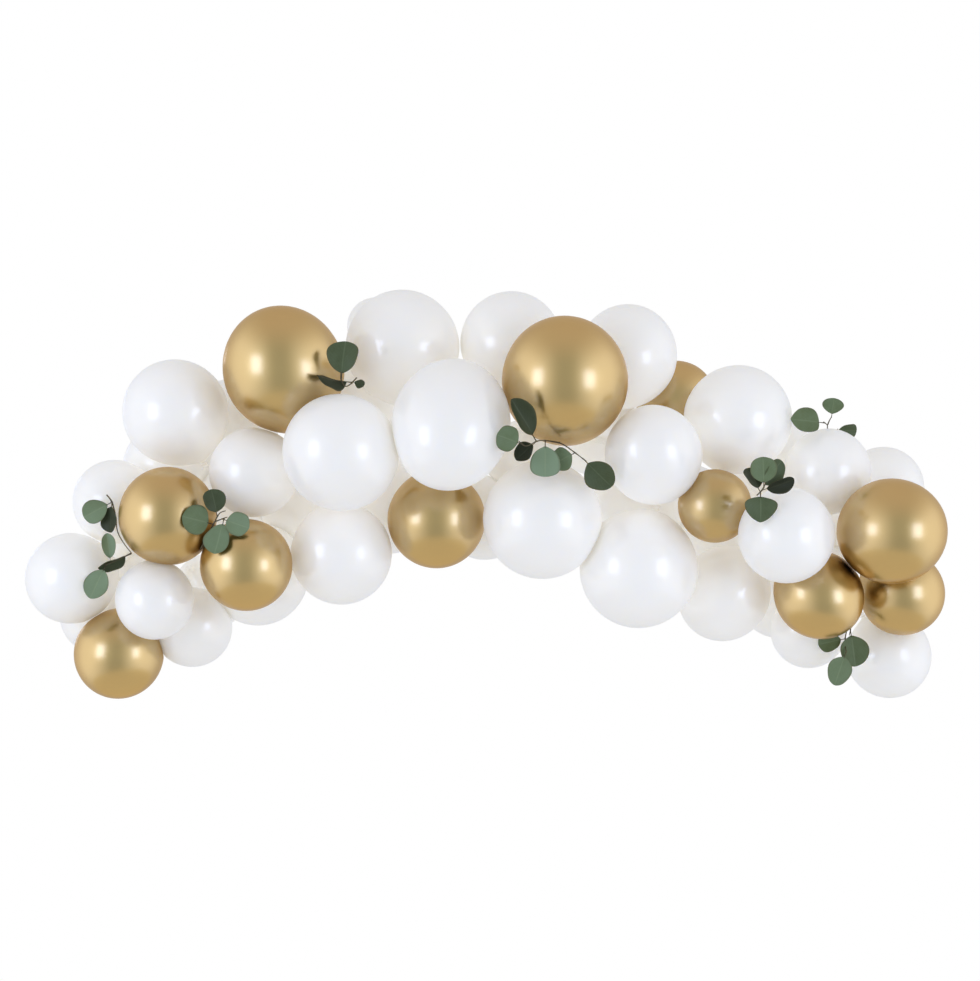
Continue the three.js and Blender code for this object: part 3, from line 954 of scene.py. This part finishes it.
def leaf_finish(material, dark, middle, light, gloss):
    material.use_nodes = True
    tree = material.node_tree
    shader = tree.nodes["Principled BSDF"]
    chart = add(tree, "SeparateXYZ", {"Vector": add(tree, "UVMap", uv_map="UVMap").outputs[0]})
    aside = add(tree, "Math", {0: chart.outputs["X"], 1: 0.5}, operation="SUBTRACT").outputs[0]
    aside = add(tree, "Math", {0: aside}, operation="ABSOLUTE").outputs[0]
    place = add(tree, "TexCoord").outputs["Object"]
    lines = vein_lines(tree, place, aside, chart.outputs["Y"])
    # A leaf's tone is partly its own colour and partly painted shade; a leaf in shadow gets
    # the dark tone.
    tone_and_shade = attribute(tree, "tone_and_shade")
    tone = mix(tree, spread(tree, tone_and_shade, 0, 0.5, 0, 1), dark, middle)
    tone = mix(tree, spread(tree, tone_and_shade, 0.5, 1, 0, 1), tone, light)
    bloom = spread(tree, noise(tree, place, 55.0, 4.0, 0.6), 0.35, 0.7, 0, BLOOM)
    tone = mix(tree, times(tree, bloom, tone_and_shade), tone, light)
    tone = mix(tree, spread(tree, aside, RIM_FROM, 0.5, 0, 0.5), tone, RIM_COLOUR)
    shown = times(tree, lines, spread(tree, tone_and_shade, 0, 1, FAINT_VEINS, CLEAR_VEINS))
    tone = mix(tree, shown, tone, VEIN_COLOUR)
    dusty = spread(tree, bloom, 0, 0.3, gloss, gloss + BLOOM_DULLNESS)
    tree.links.new(tone, shader.inputs["Base Color"])
    tree.links.new(dusty, shader.inputs["Roughness"])
    tree.links.new(bump(tree, lines, VEIN_DEPTH, VEIN_RELIEF), shader.inputs["Normal"])
    finish(shader, {"Specular IOR Level": 0.25})


# The dark tones are partly painted shade, for leaves that lie in shadow.
UPPER_TONES = (
    colour(0.018, 0.024, 0.012), colour(0.125, 0.175, 0.085), colour(0.235, 0.33, 0.215),
)
UNDER_TONES = (
    colour(0.03, 0.038, 0.02), colour(0.15, 0.2, 0.115), colour(0.26, 0.35, 0.24),
)
UPPER_ROUGHNESS, UNDER_ROUGHNESS = 0.42, 0.6

leaf_finish(LEAF_SURFACES[0], *UPPER_TONES, UPPER_ROUGHNESS)
leaf_finish(LEAF_SURFACES[UNDER], *UNDER_TONES, UNDER_ROUGHNESS)
print("materials", LEAF_SURFACES[0].name, "and", LEAF_SURFACES[UNDER].name)

# %% Bark
BARK_DARK, BARK_PALE = colour(0.045, 0.032, 0.02), colour(0.11, 0.095, 0.05)
STREAK_SCALE, BARK_SCALE, BARK_DEPTH = 30.0, 700.0, 0.0001

LEAF_SURFACES[STEM].use_nodes = True
tree = LEAF_SURFACES[STEM].node_tree
shader = tree.nodes["Principled BSDF"]
place = add(tree, "TexCoord").outputs["Object"]
streaks = spread(tree, noise(tree, place, STREAK_SCALE, 3.0), *CLOUDY, 0, 1)
tree.links.new(mix(tree, streaks, BARK_DARK, BARK_PALE), shader.inputs["Base Color"])
rough_bark = bump(tree, noise(tree, place, BARK_SCALE, 2.0), BARK_DEPTH)
tree.links.new(rough_bark, shader.inputs["Normal"])
finish(shader, {"Roughness": 0.6})
print("material", LEAF_SURFACES[STEM].name)

# %% Let the sprigs stand for their nodes
for node, piece in foliage.items():
    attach(piece, "root")
    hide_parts(node)
print("dressed", len(foliage), "sprigs")

# %% [markdown]
# ## The strip
#
# The balloons hang from a narrow strip of clear plastic, with a row of large and small
# holes that take the knots. It hardly shows, and the CAD node would do at a distance,
# but it has no holes. So one stretch with one large and one small hole is made flat,
# repeated along the strip's whole length, given its thickness, and then laid round the
# arch. A hole starts as one deleted point of the grid, and its edge is then pushed out
# to a circle.

# %% One stretch with its two holes
ARCH_RADIUS = 1.26
STRIP_WIDTH = 0.014
STRIP_THICKNESS = 0.0012
HOLES = ((-0.25, 0.0036), (0.25, 0.0022))
HOLE_REACH_ALONG, HOLE_REACH_ACROSS = 0.13, 0.26
STRETCHES = 40
strip_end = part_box("balloon_strip")[1].x
half_angle = math.asin(strip_end / (ARCH_RADIUS + STRIP_WIDTH / 2))
stretch = 2 * half_angle * ARCH_RADIUS / STRETCHES

bpy.ops.object.select_all(action="DESELECT")
bpy.ops.mesh.primitive_grid_add(x_subdivisions=8, y_subdivisions=4, size=1)
strip = bpy.context.object
strip.name = strip.data.name = "balloon_strip_clear"
edit()
for centre, _ in HOLES:
    select_where(strip, lambda place: math.hypot(place.x - centre, place.y) < NEAR)
    bpy.ops.mesh.delete(type="VERT")
bpy.ops.mesh.select_all(action="SELECT")
bpy.ops.transform.resize(value=(stretch, STRIP_WIDTH, 1), center_override=(0, 0, 0))
edit(False)
for vertex in strip.data.vertices:
    for centre, radius in HOLES:
        middle = Vector((centre * stretch, 0))
        offset = vertex.co.xy - middle
        near_x = abs(offset.x) < HOLE_REACH_ALONG * stretch
        near_y = abs(offset.y) < HOLE_REACH_ACROSS * STRIP_WIDTH
        if near_x and near_y:
            vertex.co.xy = middle + offset.normalized() * radius
print("one stretch is", round(stretch * 1000, 1), "mm long")

# %% Repeat it, thicken it and lay it round the arch
row = strip.modifiers.new("row", "ARRAY")
row.use_relative_offset = False
row.use_constant_offset = True
row.constant_offset_displace = (stretch, 0, 0)
row.count = STRETCHES
row.use_merge_vertices = True
row.merge_threshold = 1e-5
thick = strip.modifiers.new("thick", "SOLIDIFY")
thick.thickness = STRIP_THICKNESS
thick.offset = 0
work_on(strip)
bpy.ops.object.modifier_apply(modifier="row")
bpy.ops.object.modifier_apply(modifier="thick")
flat = np.array([vertex.co for vertex in strip.data.vertices])
angle = (flat[:, 0] - stretch * (STRETCHES - 1) / 2) / ARCH_RADIUS
radius = ARCH_RADIUS + flat[:, 1]
back = -flat[:, 2] - STRIP_THICKNESS / 2
laid = np.column_stack([radius * np.sin(angle), back, radius * np.cos(angle) - ARCH_RADIUS])
strip.data.vertices.foreach_set("co", laid.astype(np.float32).ravel())
edit()
bpy.ops.mesh.select_all(action="SELECT")
bpy.ops.mesh.normals_make_consistent(inside=False)
edit(False)
print("strip:", len(strip.data.polygons), "faces")

# %% [markdown]
# ## Clear plastic
#
# The strip is thin, soft plastic, clear but a little hazy. Glass would bend the light
# too much for something so thin, so its index is kept low, and the rest is plain
# transmission. A touch of haze and a fine ripple keep it from vanishing altogether.

# %% The strip's finish
PLASTIC_CLEAR, PLASTIC_HAZY = colour(0.99, 0.99, 0.98), colour(0.95, 0.96, 0.96)
HAZE_SCALE, RIPPLE_SCALE, RIPPLE_DEPTH = 60.0, 400.0, 0.00003

clear_plastic, tree, shader = start_material("clear_strip_plastic")
place = add(tree, "TexCoord").outputs["Object"]
haze = spread(tree, noise(tree, place, HAZE_SCALE, 3.0), *WAVERING, 0, 1)
ripples = bump(tree, noise(tree, place, RIPPLE_SCALE, 2.0), RIPPLE_DEPTH)
tree.links.new(mix(tree, haze, PLASTIC_CLEAR, PLASTIC_HAZY), shader.inputs["Base Color"])
tree.links.new(ripples, shader.inputs["Normal"])
finish(shader, {"Roughness": 0.08, "IOR": 1.2, "Transmission Weight": 1.0})
strip.data.materials.append(clear_plastic)
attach(strip, "root")
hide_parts("balloon_strip")
print("material", clear_plastic.name)

# %% [markdown]
# ## The camera
#
# The garland hangs at eye level and is seen straight on. A short lens close by would
# make the front balloons bulge, so a long lens stands five metres away.

# %% Camera
CAMERA_DISTANCE = 5.0
CAMERA_HEIGHT = -0.1313
LENS = 84.6

camera_data = bpy.data.cameras.new("camera")
camera_data.lens = LENS
camera_data.sensor_width = 36.0
camera = bpy.data.objects.new("camera", camera_data)
camera.location = (0, -CAMERA_DISTANCE, CAMERA_HEIGHT)
camera.rotation_euler = (math.radians(90), 0, 0)
bpy.context.scene.collection.objects.link(camera)
bpy.context.scene.camera = camera
print("camera at", tuple(camera.location))

# %% [markdown]
# ## The studio
#
# Two large softboxes stand in front, left and right, and put one soft square highlight
# each on every balloon, and a weak strip light stands behind. Round lamps would be
# simpler, but the highlights would be round and hard.

# %% Softboxes: place, size and power of each
SOFTBOXES = {
    "softbox_left": ((-2.75, -2.45, 0.05), (1.25, 1.6), 14.5),
    "softbox_right": ((2.6, -2.65, -0.15), (1.25, 1.6), 14.0),
    "strip_light_rear": ((-2.3, 2.4, 0.15), (0.25, 1.1), 2.0),
}
AIM = (0, 0, -0.13)
COOL_WHITE = (0.83, 0.985, 1.4)


def stand_light(light_data, location, target):
    light = bpy.data.objects.new(light_data.name, light_data)
    light.location = location
    way = Vector(target) - light.location
    light.rotation_euler = way.to_track_quat("-Z", "Y").to_euler()
    bpy.context.scene.collection.objects.link(light)
    return light


for name, (location, size, power) in SOFTBOXES.items():
    light_data = bpy.data.lights.new(name, "AREA")
    light_data.shape = "RECTANGLE"
    light_data.size, light_data.size_y = size
    light_data.energy = power
    light_data.color = COOL_WHITE
    stand_light(light_data, location, AIM)
print(len(SOFTBOXES), "softboxes")

# %% [markdown]
# ## Two fill lights for the ends
#
# The softboxes reach the middle of a two-metre piece best, so its ends come out greyer.
# Stronger softboxes would burn out the middle, so a weak lamp is turned towards each
# end. A lamp would also put a third highlight on every balloon, so these two are hidden
# from reflections.

# %% End fills: place, target and power of each
END_FILLS = {
    "end_fill_left": ((-1.75, -1.9, -0.3), (-0.86, 0, -0.3), 12.0),
    "end_fill_right": ((1.75, -1.9, -0.4), (0.84, 0, -0.4), 13.0),
}
CONE = math.radians(50)
LAMP_RADIUS = 0.5

for name, (location, target, power) in END_FILLS.items():
    light_data = bpy.data.lights.new(name, "SPOT")
    light_data.energy = power
    light_data.spot_size = CONE
    light_data.spot_blend = 1.0
    light_data.shadow_soft_size = LAMP_RADIUS
    stand_light(light_data, location, target).visible_glossy = False
print(len(END_FILLS), "fill lights")

# %% [markdown]
# ## The pale room
#
# A plain white world would light the balloons well enough, but metal shows whatever is
# round it, and a gold balloon in a blank room looks flat. So the world is three things:
# a soft grey-white light for the skins, plain white behind the garland, and for
# reflections alone a room. That room is a little darker behind the camera, where people
# in dark clothes stand, bright at the sides and warm overhead.

# %% The room, the light and the backdrop
ROOM_FRONT, ROOM_SIDES = colour(0.59, 0.61, 0.525), colour(1.47, 1.44, 1.33)
ROOM_BACK, ROOM_TOP = colour(0.72, 0.7, 0.7), colour(0.83, 0.72, 0.58)
SOFT_LIGHT = colour(0.618, 0.622, 0.632)

world = bpy.data.worlds.new("studio")
bpy.context.scene.world = world
world.use_nodes = True
tree = world.node_tree
tree.nodes.clear()
direction = add(tree, "TexCoord").outputs["Generated"]
axes = add(tree, "SeparateXYZ", {"Vector": direction})
sideways = add(tree, "Math", {0: axes.outputs["X"]}, operation="ABSOLUTE").outputs[0]
room = mix(tree, spread(tree, sideways, 0.25, 0.85, 0, 1), ROOM_FRONT, ROOM_SIDES)
room = mix(tree, spread(tree, axes.outputs["Y"], 0.1, 0.9, 0, 1), room, ROOM_BACK)
room = mix(tree, spread(tree, axes.outputs["Z"], 0.4, 0.95, 0, 1), room, ROOM_TOP)
mirrored = add(tree, "Background", {"Color": room}).outputs[0]
soft = add(tree, "Background", {"Color": SOFT_LIGHT}).outputs[0]
backdrop = add(tree, "Background", {"Color": colour(1, 1, 1)}).outputs[0]
rays = add(tree, "LightPath").outputs
lit = add(tree, "MixShader", {0: rays["Is Glossy Ray"], 1: soft, 2: mirrored}).outputs[0]
shown = add(tree, "MixShader", {0: rays["Is Camera Ray"], 1: lit, 2: backdrop}).outputs[0]
add(tree, "OutputWorld", {"Surface": shown})
print("world", world.name)

# %% [markdown]
# ## The floor
#
# A hanging piece touches no table, so a round sheet of pale paper lies three metres
# below it, with no corners to show. In the gold it is seen as a warm glow from below,
# as a studio's floor under warm lamps is, and that is what gives gold its lighter belly.

# %% White paper, warm in reflections
FLOOR_DEPTH = -3.0
FLOOR_RADIUS = 3.3
FLOOR_SIDES = 96
PAPER, PAPER_PALE = colour(0.9, 0.9, 0.9), colour(0.93, 0.93, 0.92)
WARM_GLOW = colour(0.93, 0.83, 0.6)

bpy.ops.object.select_all(action="DESELECT")
bpy.ops.mesh.primitive_circle_add(
    vertices=FLOOR_SIDES, radius=FLOOR_RADIUS, fill_type="NGON", location=(0, 0, FLOOR_DEPTH)
)
floor = bpy.context.object
floor.name = "floor"
paper, tree, shader = start_material("white_paper")
grain = noise(tree, add(tree, "TexCoord").outputs["Object"], 40.0, 3.0)
tree.links.new(mix(tree, grain, PAPER, PAPER_PALE), shader.inputs["Base Color"])
finish(shader, {"Roughness": 0.9})
glossy = add(tree, "LightPath").outputs["Is Glossy Ray"]
warm = add(tree, "Emission", {"Color": WARM_GLOW, "Strength": 1.0}).outputs[0]
seen = add(tree, "MixShader", {0: glossy, 1: shader.outputs[0], 2: warm}).outputs[0]
tree.links.new(seen, tree.nodes["Material Output"].inputs["Surface"])
floor.data.materials.append(paper)
print("floor", FLOOR_DEPTH, "m")

# %% [markdown]
# ## Colour and bounces
#
# The plain Standard view keeps white latex white, where a filmic one would grey it. White
# balloons light each other many times over, so light may bounce six times off soft skin.

# %% View and bounces
scene = bpy.context.scene
scene.view_settings.view_transform = "Standard"
scene.cycles.diffuse_bounces = 6
scene.cycles.max_bounces = 12
print("view", scene.view_settings.view_transform, "and", scene.cycles.max_bounces, "bounces")
